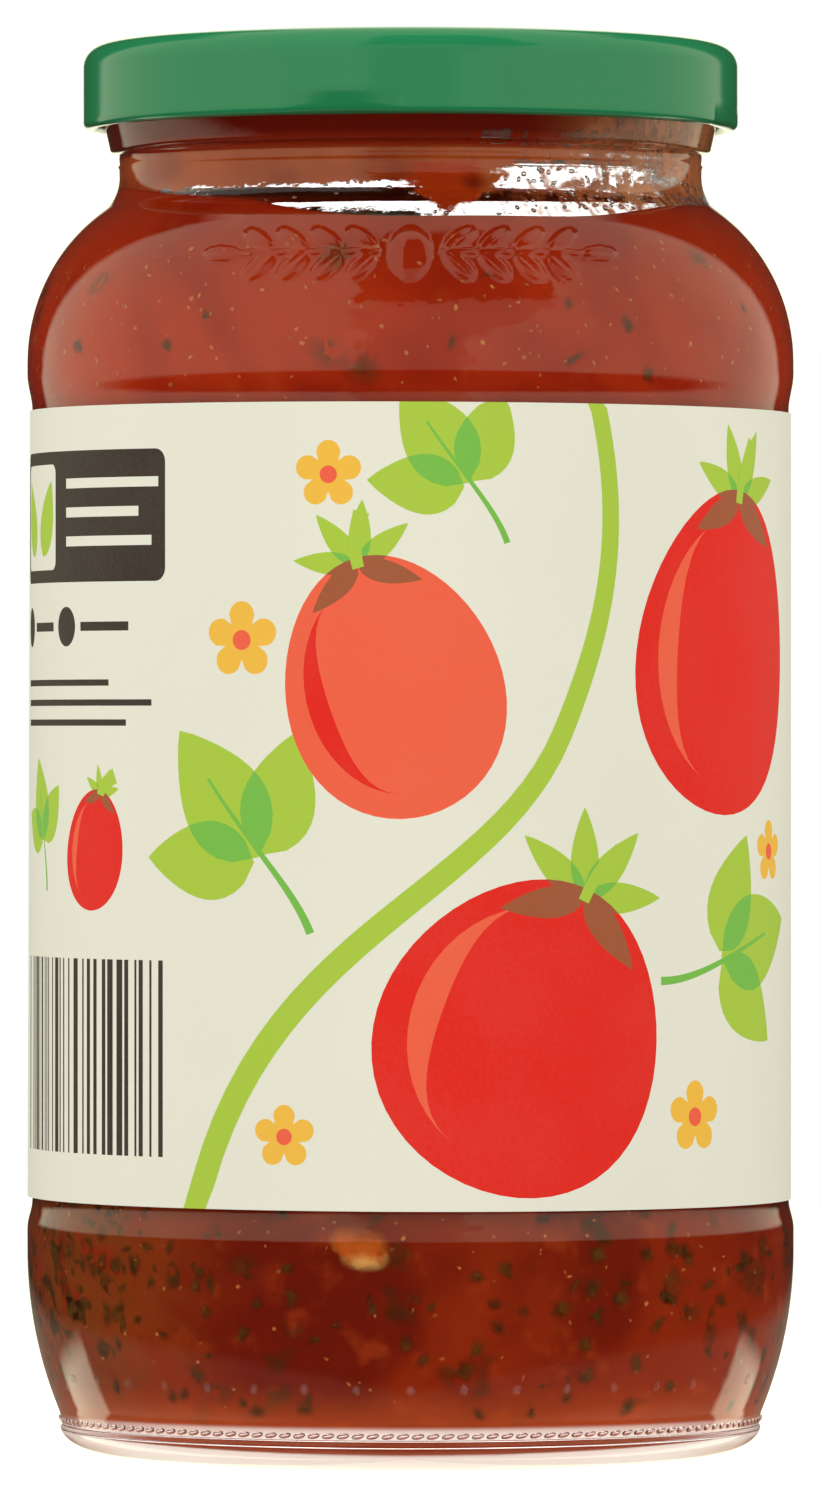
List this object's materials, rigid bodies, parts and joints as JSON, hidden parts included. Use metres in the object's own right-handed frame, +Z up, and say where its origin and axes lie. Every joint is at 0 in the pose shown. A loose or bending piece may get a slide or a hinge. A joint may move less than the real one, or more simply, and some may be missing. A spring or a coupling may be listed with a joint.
{
  "type": "tomato sauce jar",
  "caption": "Shut glass jar of tomato sauce with a rounded shoulder, a green pressed steel twist cap and a wrap-round cream paper label.",
  "frame": {"origin": "middle of the jar's foot, on the surface it stands on", "axes": "+Z up along the jar's axis, -Y towards the side that was pictured, +X to the right of that view"},
  "size_m": [0.086, 0.086, 0.1579],
  "materials": {
    "jar_glass": "clear flint glass, smooth, with a raised sprig and fine mould marks",
    "tomato_sauce": "wet, dark red-brown, with herb flecks",
    "label_paper": "coated cream paper with a printed pattern of fruits, leaves and plain bars",
    "lid_lacquer": "gloss green lacquer on pressed tinplate"
  },
  "bodies": {
    "root": {"jar": "jar_glass", "sauce": "tomato_sauce", "label": "label_paper", "lid": "lid_lacquer"}
  },
  "joints": []
}
